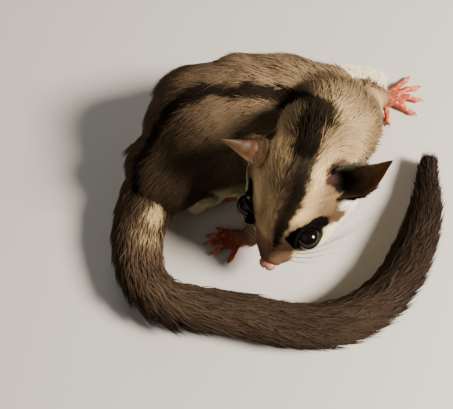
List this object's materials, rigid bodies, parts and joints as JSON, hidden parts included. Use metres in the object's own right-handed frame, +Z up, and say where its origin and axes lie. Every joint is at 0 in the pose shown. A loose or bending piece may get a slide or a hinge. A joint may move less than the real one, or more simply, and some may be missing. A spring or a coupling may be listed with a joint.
{
  "type": "sugar glider figure",
  "caption": "Life-size sugar glider crouched and curled to one side, head bent down, one hand spread beside it, bushy tail laid round in front, for shelf or table display.",
  "frame": {"origin": "on the floor plane, under the middle of the model's box", "axes": "+Z up from the floor the animal crouches on; the face looks towards -Y; the animal's left side is towards +X"},
  "size_m": [0.109, 0.1052, 0.0619],
  "materials": {
    "coat_grey": "dense soft grey-brown fur with a near-black stripe down the back and face",
    "coat_cream": "soft cream fur of the underside and of the gliding membrane's edge",
    "coat_tail": "long bushy grey-brown fur, darker to the tip",
    "bare_skin": "bare pinkish red skin of nose, hands and feet",
    "ear_skin": "thin bare brown skin, light showing through",
    "eye": "wet, dark and glossy"
  },
  "bodies": {
    "root": {"head": "coat_grey", "nose_pad": "bare_skin", "eye_left": "eye", "eye_right": "eye", "ear_left": "ear_skin", "ear_right": "ear_skin", "neck": "coat_grey", "chest": "coat_grey", "abdomen": "coat_grey", "hips": "coat_grey", "upper_arm_left": "coat_grey", "forearm_left": "coat_cream", "upper_arm_right": "coat_grey", "forearm_right": "coat_grey", "thigh_left": "coat_grey", "shin_left": "coat_grey", "thigh_right": "coat_grey", "shin_right": "coat_grey", "hand_left": "bare_skin", "hand_right": "bare_skin", "foot_left": "bare_skin", "foot_right": "bare_skin", "membrane_left": "coat_cream", "membrane_right": "coat_cream", "tail_base": "coat_tail", "tail_bend": "coat_tail", "tail_mid": "coat_tail", "tail_end": "coat_tail", "tail_tip": "coat_tail"}
  },
  "joints": []
}
